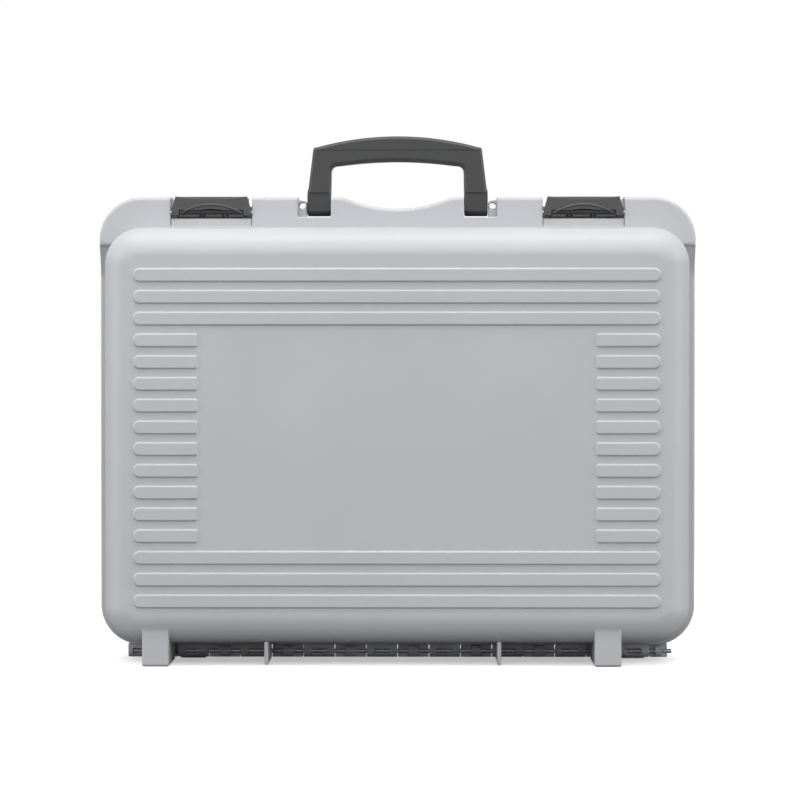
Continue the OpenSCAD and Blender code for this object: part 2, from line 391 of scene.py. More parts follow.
def ramp(tree, value, stops):
    """Colour ramp from a list of (position, colour)."""
    node = tree.nodes.new("ShaderNodeValToRGB")
    elements = node.color_ramp.elements
    while len(elements) < len(stops):
        elements.new(0.5)
    for element, (position, colour) in zip(elements, stops):
        element.position = position
        element.color = (*colour, 1.0)
    tree.links.new(value, node.inputs["Fac"])
    return node.outputs["Color"]


def remap(tree, value, low, high):
    node = tree.nodes.new("ShaderNodeMapRange")
    node.inputs["From Min"].default_value = 0.3
    node.inputs["From Max"].default_value = 0.7
    node.inputs["To Min"].default_value = low
    node.inputs["To Max"].default_value = high
    tree.links.new(value, node.inputs["Value"])
    return node.outputs["Result"]


def bump(tree, shader, height, strength, distance, before=None):
    node = tree.nodes.new("ShaderNodeBump")
    node.inputs["Strength"].default_value = strength
    node.inputs["Distance"].default_value = distance
    tree.links.new(height, node.inputs["Height"])
    if before is not None:
        tree.links.new(before, node.inputs["Normal"])
    tree.links.new(node.outputs["Normal"], shader.inputs["Normal"])
    return node.outputs["Normal"]


def moulded_plastic(name, colour, spread, roughness, grain=2600.0, depth=0.00006):
    """Spark-textured injection moulding: slight colour flow, fine grain, uneven sheen, rubbed patches."""
    material, tree, shader, coords = node_material(name)
    flow = noise_node(tree, coords, 9.0, 4.0)
    low = tuple(c * (1 - spread) for c in colour)
    high = tuple(min(1.0, c * (1 + spread)) for c in colour)
    tree.links.new(ramp(tree, flow, [(0.3, low), (0.7, high)]), shader.inputs["Base Color"])
    rub = noise_node(tree, coords, 60.0, 6.0, 0.65)
    tree.links.new(remap(tree, rub, roughness - 0.05, roughness + 0.07), shader.inputs["Roughness"])
    texture = noise_node(tree, coords, grain, 2.0)
    ripple = noise_node(tree, coords, 35.0, 2.0)
    first = bump(tree, shader, ripple, 0.12, 0.0004)
    bump(tree, shader, texture, 0.35, depth, first)
    shader.inputs["IOR"].default_value = 1.49
    shader.inputs["Specular IOR Level"].default_value = 0.5
    return material


def drawn_steel(name):
    """Bright wire with fine lines round it from drawing, and faint stains."""
    material, tree, shader, coords = node_material(name)
    shader.inputs["Metallic"].default_value = 1.0
    stain = noise_node(tree, coords, 300.0, 4.0)
    tree.links.new(ramp(tree, stain, [(0.3, (0.50, 0.50, 0.50)), (0.7, (0.68, 0.68, 0.69))]),
                   shader.inputs["Base Color"])
    tree.links.new(remap(tree, stain, 0.25, 0.42), shader.inputs["Roughness"])
    stretch = tree.nodes.new("ShaderNodeMapping")
    stretch.inputs["Scale"].default_value = (0.03, 1.0, 1.0)
    tree.links.new(coords, stretch.inputs["Vector"])
    lines = noise_node(tree, stretch.outputs["Vector"], 4000.0, 2.0)
    bump(tree, shader, lines, 0.25, 0.00004)
    return material


def open_cell_foam(name, colour):
    """Charcoal polyurethane foam: open cells, soft light edges, a little dust."""
    material, tree, shader, coords = node_material(name)
    cells = tree.nodes.new("ShaderNodeTexVoronoi")
    cells.inputs["Scale"].default_value = 900.0
    tree.links.new(coords, cells.inputs["Vector"])
    cloud = noise_node(tree, coords, 40.0, 5.0, 0.6)
    dark = tuple(c * 0.45 for c in colour)
    light = tuple(c * 1.5 for c in colour)
    pores = ramp(tree, cells.outputs["Distance"], [(0.0, light), (0.55, colour), (1.0, dark)])
    mix = tree.nodes.new("ShaderNodeMix")
    mix.data_type = "RGBA"
    mix.blend_type = "MULTIPLY"
    mix.inputs["Factor"].default_value = 0.5
    tree.links.new(pores, mix.inputs["A"])
    tree.links.new(ramp(tree, cloud, [(0.3, (0.72, 0.72, 0.72)), (0.7, (1.0, 1.0, 1.0))]), mix.inputs["B"])
    tree.links.new(mix.outputs["Result"], shader.inputs["Base Color"])
    tree.links.new(remap(tree, cloud, 0.9, 1.0), shader.inputs["Roughness"])
    shader.inputs["Sheen Weight"].default_value = 0.25
    shader.inputs["Sheen Roughness"].default_value = 0.6
    shader.inputs["Specular IOR Level"].default_value = 0.2
    bump(tree, shader, cells.outputs["Distance"], 0.8, 0.0006)
    return material


SHELL = moulded_plastic("shell_grey", (0.43, 0.435, 0.455), 0.025, 0.46)
HANDLE_PLASTIC = moulded_plastic("handle_charcoal", (0.037, 0.0375, 0.039), 0.08, 0.42, 3000.0, 0.00005)
LATCH_PLASTIC = moulded_plastic("latch_charcoal", (0.056, 0.056, 0.058), 0.08, 0.38, 3400.0, 0.00004)
# Much darker copy of the latch plastic: painted shade for the barrel's middle and the web in the hollow
# behind the finger arch
LATCH_PAINTED_SHADE = moulded_plastic("latch_inner_painted_shade", (0.012, 0.012, 0.013), 0.1, 0.55, 3400.0, 0.00004)
STEEL = drawn_steel("hinge_wire")
FOAM = open_cell_foam("lining_foam", (0.050, 0.050, 0.054))
WAVE_FOAM = open_cell_foam("wave_foam", (0.060, 0.060, 0.065))


# ---------------------------------------------------------------- shells

def panel_outline(d):
    radii = (CORNER_BOTTOM - d, CORNER_BOTTOM - d, CORNER_TOP - d, CORNER_TOP - d)
    return rounded(-PANEL_HALF_W + d, PANEL_HALF_W - d, PANEL_BOTTOM + d, PANEL_TOP - d, radii, 20)


def bulge(name, thickness, y_start):
    """Bulged panel's solid, or the space inside it."""
    r = EDGE_R - thickness
    base = PANEL_FACE - EDGE_R
    levels = [(y_start, panel_outline(thickness))]
    steps = 16
    for i in range(steps + 1):
        a = math.pi / 2 * i / steps
        levels.append((-base - r * math.sin(a), panel_outline(thickness + DRAFT + r * (1 - math.cos(a)))))
    return loft(name, levels)


def rim_outline():
    """Outline of the whole moulding at the parting plane, with the finger dip."""
    return (arc(-HALF_W + CORNER_BOTTOM, RIM_BOTTOM + CORNER_BOTTOM, CORNER_BOTTOM, 180, 270, 20)
            + arc(HALF_W - CORNER_BOTTOM, RIM_BOTTOM + CORNER_BOTTOM, CORNER_BOTTOM, 270, 360, 20)
            + arc(HALF_W - RIM_CORNER, TOP - RIM_CORNER, RIM_CORNER, 0, 90, 22)
            + dip_points()
            + arc(-HALF_W + RIM_CORNER, TOP - RIM_CORNER, RIM_CORNER, 90, 180, 22))


def dip_points():
    """Finger dip in the top edge, from right to left, with softened shoulders."""
    r = (DIP_HALF_W ** 2 + DIP_DEPTH ** 2) / (2 * DIP_DEPTH)
    centre = TOP - DIP_DEPTH + r
    span = math.degrees(math.asin((DIP_HALF_W - 5) / r))
    arc_points = arc(0, centre, r, 270 + span, 270 - span, 28)
    shoulder = arc_points[0]
    right = [(DIP_HALF_W + 5.5, TOP), (DIP_HALF_W + 2.5, TOP - 0.12), (DIP_HALF_W - 1, TOP - 0.75),
             ((DIP_HALF_W - 1 + shoulder[0]) / 2, (TOP - 0.75 + shoulder[1]) / 2 - 0.1)]
    left = [(-x, z) for x, z in reversed(right)]
    return right + arc_points + left


def band_outline(low):
    """Outline of the deep top band, down to a height inside the bulged panel."""
    return ([(-HALF_W, low), (HALF_W, low)]
            + arc(HALF_W - RIM_CORNER, TOP - RIM_CORNER, RIM_CORNER, 0, 90, 22)
            + dip_points()
            + arc(-HALF_W + RIM_CORNER, TOP - RIM_CORNER, RIM_CORNER, 90, 180, 22))


def band():
    """Deep top band, whose lower ends run out towards the rim, with a rounded front edge."""
    low = TOP - BAND_H
    runout = ((4.0, 24), (-RIM_D, 24), (-10.0, 17), (-13.0, 10.5), (-16.0, 5))
    levels = [(y, band_outline(low - drop)) for y, drop in runout]
    steps, r = 6, 3.0
    for i in range(steps + 1):
        a = math.pi / 2 * i / steps
        levels.append((-BAND_D + r * (1 - math.sin(a)), inset(band_outline(low), r * (1 - math.cos(a)))))
    return loft("band", [(y, inset(points, BAND_STEP)) for y, points in levels])


def rib(x0, x1, z, radii):
    """One raised bar with sloped, rounded flanks."""
    points = rounded(x0, x1, z - RIB_H / 2, z + RIB_H / 2, radii, 8)
    flank = ((0.6, -0.35), (-0.05, -0.3), (-0.3, 0.1), (-1.0, 0.5), (-1.3, 0.8), (-RIB_OUT, 1.3))
    return loft("rib", [(-PANEL_FACE + depth, inset(points, d)) for depth, d in flank])


def ribs():
    pieces = []
    round_end = RIB_H / 2 - 0.6
    square_end = 1.9
    for i in range(RIB_ROWS):
        z = RIB_MID_Z + ((RIB_ROWS - 1) / 2 - i) * RIB_PITCH
        if i < RIB_LONG_ROWS or i >= RIB_ROWS - RIB_LONG_ROWS:
            pieces.append(rib(-RIB_HALF_L, RIB_HALF_L, z, (round_end,) * 4))
        else:
            pieces.append(rib(-RIB_HALF_L, -FIELD_HALF_W, z, (round_end, square_end, square_end, round_end)))
            pieces.append(rib(FIELD_HALF_W, RIB_HALF_L, z, (square_end, round_end, round_end, square_end)))
    return pieces


def foot(x):
    """Foot along X from its side view, its front running up into the bulged panel."""
    toe_r, heel_r = 2.4, 2.0
    side_view = (arc(FOOT_BACK - heel_r, heel_r, heel_r, 270, 360, 5)
                 + [(FOOT_BACK, 30.0), (-50.0, 38.0), (FOOT_FRONT - 1.5, 38.0), (FOOT_FRONT - 1.1, 33.0)]
                 + [(FOOT_FRONT - 0.5, 28.0), (FOOT_FRONT - 0.1, 23.0), (FOOT_FRONT, 18.0)]
                 + arc(FOOT_FRONT + toe_r, toe_r, toe_r, 180, 270, 6))
    body = soft_slab("foot", side_view, -FOOT_W / 2, FOOT_W / 2, 1.6, 1.6, 5)
    body.data.transform(Matrix(((0, 1, 0, x * MM), (1, 0, 0, 0), (0, 0, 1, 0), (0, 0, 0, 1))))
    fix_normals(body)
    return body


def feet():
    pieces = []
    for x in FOOT_X:
        pieces.append(foot(x))
    for x in FIN_X:
        points = rounded(x - FIN_W / 2, x + FIN_W / 2, *FIN_Z, (1.65,) * 4, 6)
        pieces.append(soft_slab("fin", points, FOOT_BACK, FIN_FRONT, 0.5, 1.2))
    return pieces


def leg_pocket_points(side):
    """Cross-section of the pocket that a handle leg swings in, with a filleted floor."""
    radii = (1.6, 1.6, 0.4, 0.4)
    points = rounded(POCKET_IN, POCKET_OUT, POCKET_FLOOR, TOP + 4, radii, 5)
    return points if side > 0 else mirrored(points)


def recess_points(side, z0, z1, r):
    points = rounded(LATCH_X - RECESS_HALF_W, LATCH_X + RECESS_HALF_W, z0, z1, (r, r, 0.3, 0.3), 5)
    return points if side > 0 else mirrored(points)


def flared(points, y_back, y_face, flare=0.7):
    """Cutter through the band's front face, whose mouth is a little wider than its run."""
    wide = inset(points, -flare)
    return loft("cutter", [(y_back, points), (y_face + flare, points), (y_face, wide), (y_face - 3, wide)])


def band_cells():
    """Cutters for the notches of the latch hooks and the hollows in the back of the band."""
    cutters = []
    for side in (-1, 1):
        notch = recess_points(side, NOTCH_Z, TOP + 4, 0.8)
        cutters.append(soft_slab("notch", notch, 1.0, -RECESS_Y - 0.5))
        for x0, x1, depth, z1 in ((POCKET_OUT + WALL, LATCH_X - CELL_EDGE, BAND_D, TOP - WALL),
                                  (LATCH_X + CELL_EDGE, CELL_END, BAND_D, TOP - 2 * WALL),
                                  (LATCH_X - CELL_HALF_W, LATCH_X + CELL_HALF_W, RECESS_Y, NOTCH_Z - WALL)):
            left, right = sorted((side * x0, side * x1))
            points = rounded(left, right, CELL_LOW, z1, (2, 2, 2, 2), 4)
            cutters.append(soft_slab("cell", points, 1.0, -depth + WALL, 0, 1.0))
    middle_top = TOP - DIP_DEPTH - WALL
    points = rounded(-MIDDLE_CELL_HALF_W, MIDDLE_CELL_HALF_W, CELL_LOW, middle_top, (2, 2, 2, 2), 4)
    cutters.append(soft_slab("cell", points, 1.0, -BAND_D + WALL, 0, 1.0))
    return cutters


def latch_shelves():
    """Shelf below each latch, with a thin gap at both sides."""
    shelves = []
    reach = RECESS_HALF_W - SHELF_GAP
    for side in (-1, 1):
        x0, x1 = sorted((side * (LATCH_X - reach), side * (LATCH_X + reach)))
        points = rounded(x0, x1, RECESS_BOTTOM - 1, SHELF_TOP, (0.3,) * 4, 3)
        shelves.append(soft_slab("shelf", points, -RECESS_Y + 1, -BAND_D + 0.7, 0.0, 0.25))
    return shelves


def half_shell(name):
    """Visible moulding that both shells share, made on the lid's side."""
    shell = bulge(name, 0.0, 2.0)
    fuse(shell, [soft_slab("rim", rim_outline(), 3.0, -RIM_D, 0.0, 1.4)])
    fuse(shell, [band()])
    fuse(shell, ribs() + feet())
    cut(shell, [bulge("cavity", WALL, 7.0)])
    cut(shell, [block(-HALF_W - 5, HALF_W + 5, -SPLIT, 6.0, -5.0, TOP + 5)])
    cutters = []
    for side in (-1, 1):
        cutters.append(flared(leg_pocket_points(side), 1.0, -BAND_D))
        cutters.append(flared(recess_points(side, RECESS_BOTTOM, TOP + 4, 0.8), -RECESS_Y, -BAND_D, 0.5))
    cut(shell, cutters)
    cut(shell, band_cells())
    fuse(shell, latch_shelves())
    return shell


def eyelet_tabs():
    """The two tabs for a padlock, with sloped tops."""
    tabs = []
    for side in (-1, 1):
        root = POCKET_FLOOR - 1
        points = [(TAB_IN, root), (POCKET_OUT + 1, root), (POCKET_OUT + 1, TAB_TOP + 0.6),
                  (POCKET_OUT - 2.4, TAB_TOP), (TAB_IN + 1.2, TAB_TOP - 0.6), (TAB_IN, TAB_TOP - 1.8)]
        if side < 0:
            points = mirrored(points)
        tab = soft_slab("tab", points, -SPLIT, -TAB_D, 0.2, 0.6)
        cut(tab, [y_bar(side * EYELET_X, EYELET_Z, EYELET_R, 2.0, -TAB_D - 2)])
        tabs.append(tab)
    return tabs


def knuckle(x0, x1):
    """A lid knuckle: a frame with a window over the pin in front, closed behind its middle."""
    a, b = x0 + KNUCKLE_GAP, x1 - KNUCKLE_GAP
    third = (b - a) / 3
    slot_y, window_half_h, frame_w = 0.9, 2.9, 0.72 * third
    body = x_bar(a, b, 0, HINGE_Z, KNUCKLE_R, 40, 0.5)
    web = rounded(a, b, HINGE_Z, RIM_BOTTOM + 1, (0.6,) * 4, 3)
    fuse(body, [soft_slab("web", web, -SPLIT, -KNUCKLE_R + 0.05, 0.0, 0.4)])
    low, high = HINGE_Z - window_half_h, HINGE_Z + window_half_h
    window = rounded(a + frame_w, b - frame_w, low, high, (1.0,) * 4, 4)
    cut(body, [soft_slab("window", window, -slot_y, -KNUCKLE_R - 2)])
    ends = [block(a - 2, a + third, slot_y, KNUCKLE_R + 2, -1, RIM_BOTTOM + 3),
            block(b - third, b + 2, slot_y, KNUCKLE_R + 2, -1, RIM_BOTTOM + 3)]
    cut(body, ends)
    cut(body, [x_bar(a - 3, b + 3, 0, HINGE_Z, PIN_R + RUNNING, 24)])
    return body


def knuckles():
    first = knuckle(0, KNUCKLE_PITCH)
    pieces = []
    for k in range(-7, 8, 2):
        copy = bpy.data.objects.new("knuckle", first.data.copy())
        bpy.context.scene.collection.objects.link(copy)
        copy.data.transform(Matrix.Translation((k * KNUCKLE_PITCH * MM, 0, 0)))
        pieces.append(copy)
    bpy.data.objects.remove(first)
    pieces.append(knuckle(-8 * KNUCKLE_PITCH - END_KNUCKLE_L, -8 * KNUCKLE_PITCH))
    return join("knuckles", pieces)


def latch_pin_holes():
    reach = RECESS_HALF_W + 3.8
    return [x_bar(side * LATCH_X - reach, side * LATCH_X + reach, -LATCH_Y, LATCH_Z, LATCH_PIN_R, 24)
            for side in (-1, 1)]


def make_shells():
    base_half = half_shell("half")
    lid = bpy.data.objects.new("lid_moulding", base_half.data.copy())
    bpy.context.scene.collection.objects.link(lid)
    turned(base_half)

    notches = []
    for side in (-1, 1):
        x0, x1 = sorted((side * (LUG_IN - LUG_FIT), side * (POCKET_IN + 1)))
        notches.append(block(x0, x1, 1.0, LUG_Y - LUG_FIT, LUG_Z - 1, TOP + 3))
    cut(lid, notches)
    cut(lid, latch_pin_holes())

    additions = []
    for side in (-1, 1):
        x0, x1 = sorted((side * LUG_IN, side * LUG_OUT))
        points = rounded(x0, x1, LUG_Z, TOP - 0.3, (0.9,) * 4, 3)
        additions.append(soft_slab("lug", points, LUG_Y, BAND_D - 1, 0.6, 0.0))
        middle = side * LATCH_X
        bead = rounded(middle - BEAD_HALF_W, middle + BEAD_HALF_W, NOTCH_Z - 1, BEAD_TOP, (0.7, 0.7, 1, 1), 4)
        additions.append(soft_slab("bead", bead, *BEAD_Y, 0.5, 0.5))
    fuse(base_half, additions)

    for shell in (lid, base_half):
        shade(shell, 32)
    place(lid, "lid_moulding", "lid", SHELL, ("front_shell",))
    place(base_half, "base_moulding", "base", SHELL, ("rear_shell",))

    for name, body, turn in (("lid_eyelets", "lid", False), ("base_eyelets", "base", True)):
        tabs = join(name, eyelet_tabs())
        place(shade(turned(tabs) if turn else tabs), name, body, SHELL)
    for name, body, turn in (("lid_knuckles", "lid", False), ("base_knuckles", "base", True)):
        row = knuckles()
        place(shade(turned(row) if turn else row), name, body, SHELL)


# ---------------------------------------------------------------- hinge wire and pins

def make_pins():
    wire = x_bar(pin_low[0], pin_high[0], 0, HINGE_Z, PIN_R, 32, 0.5)
    place(shade(wire), "hinge_wire", "base", STEEL, ("hinge_pin",))
    for node, body in (("handle_pin_left", "base"), ("handle_pin_right", "base"),
                       ("latch_pin_left", "lid"), ("latch_pin_right", "lid")):
        low, high = box_mm(node)
        r = (high[2] - low[2]) / 2
        pin = x_bar(low[0], high[0], (low[1] + high[1]) / 2, (low[2] + high[2]) / 2, r, 32, 0.3)
        place(shade(pin), node + "_piece", body, STEEL, (node,))


# ---------------------------------------------------------------- handle

def handle_outline():
    """Handle seen from the front: arched grip, tapering legs, rounded inner corners."""
    top_x, rise = GRIP_TOP_HALF_L, GRIP_TOP_RISE
    grip_x, grip_z, sag = GRIP_HALF_L, HANDLE_TOP - GRIP_DROP, GRIP_SAG
    top_r = (top_x ** 2 + rise ** 2) / (2 * rise)
    grip_r = (grip_x ** 2 + sag ** 2) / (2 * sag)
    top_a = math.degrees(math.asin((top_x - 2.6) / top_r))
    grip_a = math.degrees(math.asin(grip_x / grip_r))
    corner = arc(top_x - 2.7, HANDLE_TOP - rise - 1.7, 2.8, 5, 62, 6)
    right = [(LEG_IN, PIVOT_Z), (LEG_OUT, PIVOT_Z), (LEG_OUT - 0.2, PIVOT_Z + 6)] + corner
    top = arc(0, HANDLE_TOP - top_r, top_r, 90 - top_a, 90 + top_a, 40)
    left = [(-x, z) for x, z in reversed(right)]
    inner_left = [(-LEG_IN + 0.45, grip_z - 6)] + arc(-LEG_IN + 5.2, grip_z - 4.4, 4.6, 176, 96, 7)
    under = arc(0, grip_z + sag - grip_r, grip_r, 90 + grip_a - 1, 90 - grip_a + 1, 36)
    inner_right = [(-x, z) for x, z in reversed(inner_left)]
    return right + top + left + inner_left + under + inner_right


def make_handle():
    points = handle_outline()
    half = HANDLE_HALF_D
    step_d, step_z0, step_z1 = 1.2, PIVOT_Z - 3, PIVOT_Z + 8.2
    edge = [(0.0, 2.7), (0.35, 1.8), (1.0, 1.0), (2.2, 0.35), (4.2, 0.0)]
    levels = [(-half + y, inset(points, d)) for y, d in edge]
    levels += [(half - y, inset(points, d)) for y, d in reversed(edge)]
    grip = loft("grip", levels)
    step = [(LEG_IN - 2, step_z0), (LEG_OUT + 2, step_z0), (LEG_OUT + 2, step_z1), (LEG_IN - 2, step_z1)]
    cutters = []
    for side in (-1, 1):
        for front in (-1, 1):
            outline_points = step if side > 0 else mirrored(step)
            cutters.append(loft("step", [(front * (half + 2), outline_points),
                                         (front * (half - step_d), inset(outline_points, 0.6))]))
    cut(grip, cutters)
    ends = []
    for side in (-1, 1):
        x0, x1 = sorted((side * (LEG_IN + RUNNING), side * (LEG_OUT - RUNNING)))
        end = x_bar(x0, x1, 0, PIVOT_Z, LEG_END_R, 64, 1.4)
        trim = [block(x0 - 2, x1 + 2, -half + step_d, -half - 6, PIVOT_Z - 20, PIVOT_Z + 20),
                block(x0 - 2, x1 + 2, half - step_d, half + 6, PIVOT_Z - 20, PIVOT_Z + 20)]
        cut(end, trim)
        ends.append(end)
    fuse(grip, ends)
    bores = []
    for side in (-1, 1):
        x0, x1 = sorted((side * (LEG_IN - 3), side * 70.5))
        bores.append(x_bar(x0, x1, 0, PIVOT_Z, HANDLE_PIN_R + RUNNING, 32))
    cut(grip, bores)
    place(shade(grip, 38), "handle_moulding", "handle", HANDLE_PLASTIC, ("handle",))


# ---------------------------------------------------------------- latches

def latch_plate_points():
    """Front plate with a slightly hollow top edge and flared sides."""
    top = [(LATCH_TOP_W - 2 * LATCH_TOP_W * i / 16, TOP - LATCH_SAG * (1 - abs(1 - i / 8) ** 2))
           for i in range(17)]
    return [(-LATCH_FOOT_W, LATCH_Z + 1.5), (LATCH_FOOT_W, LATCH_Z + 1.5)] + top


def arch_tube(x, z_peak, rise, half_w, r, y):
    """Rolled lip along the finger arch."""
    steps, sides = 32, 10
    verts = []
    for i in range(steps + 1):
        u = -1 + 2 * i / steps
        px, pz = x + u * half_w, z_peak - rise * u * u
        slope = math.atan2(-2 * rise * u, half_w)
        size = r * (1 - 0.45 * u * u)
        for k in range(sides):
            a = TAU * k / sides
            verts.append((px - math.sin(slope) * size * math.sin(a), y + size * math.cos(a),
                          pz + math.cos(slope) * size * math.sin(a)))
    faces = [tuple(range(sides - 1, -1, -1))]
    for i in range(steps):
        for k in range(sides):
            j = (k + 1) % sides
            faces.append((i * sides + k, i * sides + j, (i + 1) * sides + j, (i + 1) * sides + k))
    faces.append(tuple(range(steps * sides, (steps + 1) * sides)))
    return new_object("lip", verts, faces)


def latch_plate():
    """Front plate with the finger arch cut out of its lower edge."""
    arch_half, arch_rise, arch_peak = 24.0, 5.5, LATCH_Z + 2.6
    arch_r = (arch_half ** 2 + arch_rise ** 2) / (2 * arch_rise)
    plate = soft_slab("plate", latch_plate_points(), LATCH_FRONT, LATCH_FRONT + 2.5, 0.6, 0.2)
    mouth = [(-32, LATCH_Z - 8), (32, LATCH_Z - 8)] + arc(0, arch_peak - arch_r, arch_r, 90 - 30, 90 + 30, 36)
    return cut(plate, [soft_slab("mouth", mouth, LATCH_FRONT - 3, LATCH_FRONT + 5)])


def latch_top():
    """Plate that reaches back over the parting plane to the hook."""
    points = rounded(-LATCH_TOP_W, LATCH_TOP_W, LATCH_FRONT + 0.5, HOOK_Y, (0.9, 0.9, 3.0, 3.0), 5)
    top = soft_slab("top", points, 0.0, 2.3, 0.3, 0.7)
    top.data.transform(Matrix(((1, 0, 0, 0), (0, 0, 1, 0), (0, 1, 0, 0), (0, 0, 0, 1))))
    top.data.transform(Matrix.Translation((0, 0, (TOP - 2.5) * MM)))
    fix_normals(top)
    return sag_latch_top(top)


def latch_side(s):
    """Cheek, ear with its stud, and barrel end at one side."""
    cheek_x, ear_x = s * 29.0, s * 30.3
    cheek = rounded(cheek_x - 1.0, cheek_x + 1.0, LATCH_Z, TOP - 2.4, (0.7,) * 4, 3)
    ear = rounded(ear_x - 3.2, ear_x + 3.2, LATCH_Z - 3.0, LATCH_Z + 4.4, (1.0,) * 4, 4)
    stud = arc(ear_x, LATCH_Z + 0.7, 1.0, 0, 337.5, 15)
    x0, x1 = sorted((s * 27.5, s * LATCH_FOOT_W))
    return [soft_slab("cheek", cheek, LATCH_FRONT + 1.0, -16.6, 0.2, 0.5),
            soft_slab("ear", ear, LATCH_FRONT - 0.1, -17.2, 0.7, 0.7),
            soft_slab("stud", stud, LATCH_FRONT - 0.45, LATCH_FRONT + 0.4, 0.3, 0.0),
            x_bar(x0, x1, -LATCH_Y, LATCH_Z, 2.9, 32, 0.4)]


def latch_strips(side):
    """Lower lip of the latch, broken by two pairs of short gaps."""
    pieces = []
    ends = (-27.0, -10.2, -8.2, -7.0, -5.0, 9.2, 11.2, 12.4, 14.4, 27.0)
    for i in range(0, len(ends), 2):
        x0, x1 = sorted((-side * ends[i], -side * ends[i + 1]))
        strip = rounded(x0, x1, LATCH_Z - 3.9, LATCH_Z - 1.9, (0.5,) * 4, 3)
        pieces.append(soft_slab("strip", strip, -LATCH_Y + 1.0, -LATCH_Y - 1.8, 0.3, 0.4))
    return pieces


def make_latch(side, name, body):
    hook_points = rounded(-HOOK_HALF_W, HOOK_HALF_W, BEAD_TOP + 0.5, TOP - 2.2, (0.7,) * 4, 3)
    hook = soft_slab("hook", hook_points, BEAD_Y[1] + 0.6, HOOK_Y, 0.3, 0.5)
    lip = arch_tube(0, LATCH_Z + 6.4, 7.2, 25.5, 1.1, LATCH_FRONT + 0.1)
    pieces = [latch_plate(), latch_top(), hook, lip]
    for s in (-1, 1):
        pieces += latch_side(s)
    lever = join(name, pieces + latch_strips(side))
    # Web and barrel middle in the darker latch plastic: painted shade for the hollow under the lever, while
    # the barrel's ends keep the lit colour
    web = rounded(-29, 29, LATCH_Z - 3.6, TOP - 2.6, (1.0,) * 4, 4)
    inner = join("inner", [soft_slab("web", web, -18.4, -16.8, 0.3, 0.3),
                           x_bar(-27.3, 27.3, -LATCH_Y, LATCH_Z, 2.8, 32, 0.4)])
    for obj in (lever, inner):
        obj.data.transform(Matrix.Translation((side * LATCH_X * MM, 0, 0)))
    place(shade(lever, 38), name + "_lever", body, LATCH_PLASTIC, (name,))
    place(shade(inner), name + "_inner", body, LATCH_PAINTED_SHADE)


def sag_latch_top(obj):
    """Give the top plate the same hollow along its length as the front plate's upper edge."""
    for vertex in obj.data.vertices:
        u = min(1.0, abs(vertex.co.x / MM) / LATCH_TOP_W)
        vertex.co.z -= LATCH_SAG * MM * (1 - u * u)
    return obj


# ---------------------------------------------------------------- foam lining

BAYS = ((-205, -8, 185, 330), (14, 205, 196, 330), (-205, -20, 55, 150), (6, 205, 55, 160))
BAY_R = 8.0
FINGER_NOTCHES = ((-106.5, 185), (110, 196), (105.5, 160))
FINGER_R = 15.0
PULL_R = 11.0


def lining_outline(low, high, grow=0.0):
    r = 32.0
    return rounded(low[0] + grow, high[0] - grow, low[2] + grow, high[2] - grow, (r + 8, r + 8, r, r), 12)


def make_tray():
    tray = soft_slab("tray", lining_outline(tray_low, tray_high, 0.2), tray_low[1], tray_high[1], 1.6, 0.6, 4)
    cutters = []
    for x0, x1, z0, z1 in BAYS:
        points = rounded(x0, x1, z0, z1, (BAY_R,) * 4, 8)
        wide = inset(points, -1.2)
        mid = inset(points, -0.35)
        cutters.append(loft("bay", [(tray_low[1] - 4, wide), (tray_low[1], wide), (tray_low[1] + 0.5, mid),
                                    (tray_low[1] + 1.6, points), (tray_high[1] + 2, points)]))
    cut(tray, cutters)
    fingers = []
    for x, z in FINGER_NOTCHES:
        notch = arc(x, z, FINGER_R, 0, 354, 59)
        fingers.append(soft_slab("finger", notch, tray_low[1] - 3, tray_low[1] + 26))
    cut(tray, fingers)
    place(shade(tray, 40), "foam_tray_piece", "base", FOAM, ("foam_tray",))

    pad = soft_slab("pad", lining_outline(pad_low, pad_high, 0.2), pad_low[1], pad_high[1], 1.5, 3.0, 5)
    place(shade(pad, 40), "foam_base_pad_piece", "base", FOAM, ("foam_base_pad",))

    for node in ("foam_divider_left", "foam_divider_right"):
        low, high = box_mm(node)
        points = rounded(low[0], high[0], low[2], high[2], (1.7,) * 4, 4)
        strip = soft_slab("strip", points, low[1], high[1], 1.4, 0.4, 4)
        place(shade(strip, 40), node + "_piece", "base", FOAM, (node,))

    points = rounded(cover_low[0], cover_high[0], cover_low[2], cover_high[2], (BAY_R,) * 4, 8)
    cover = soft_slab("cover", points, cover_low[1], cover_high[1], 1.6, 1.0, 4)
    pull_x, pull_z = (cover_low[0] + cover_high[0]) / 2, (cover_low[2] + cover_high[2]) / 2
    pull = arc(pull_x, pull_z, PULL_R, 0, 354, 59)
    cut(cover, [soft_slab("pull", pull, cover_low[1] - 3, cover_high[1] + 3)])
    place(shade(cover, 40), "foam_cover_piece", "base", FOAM, ("foam_accessory_cover",))


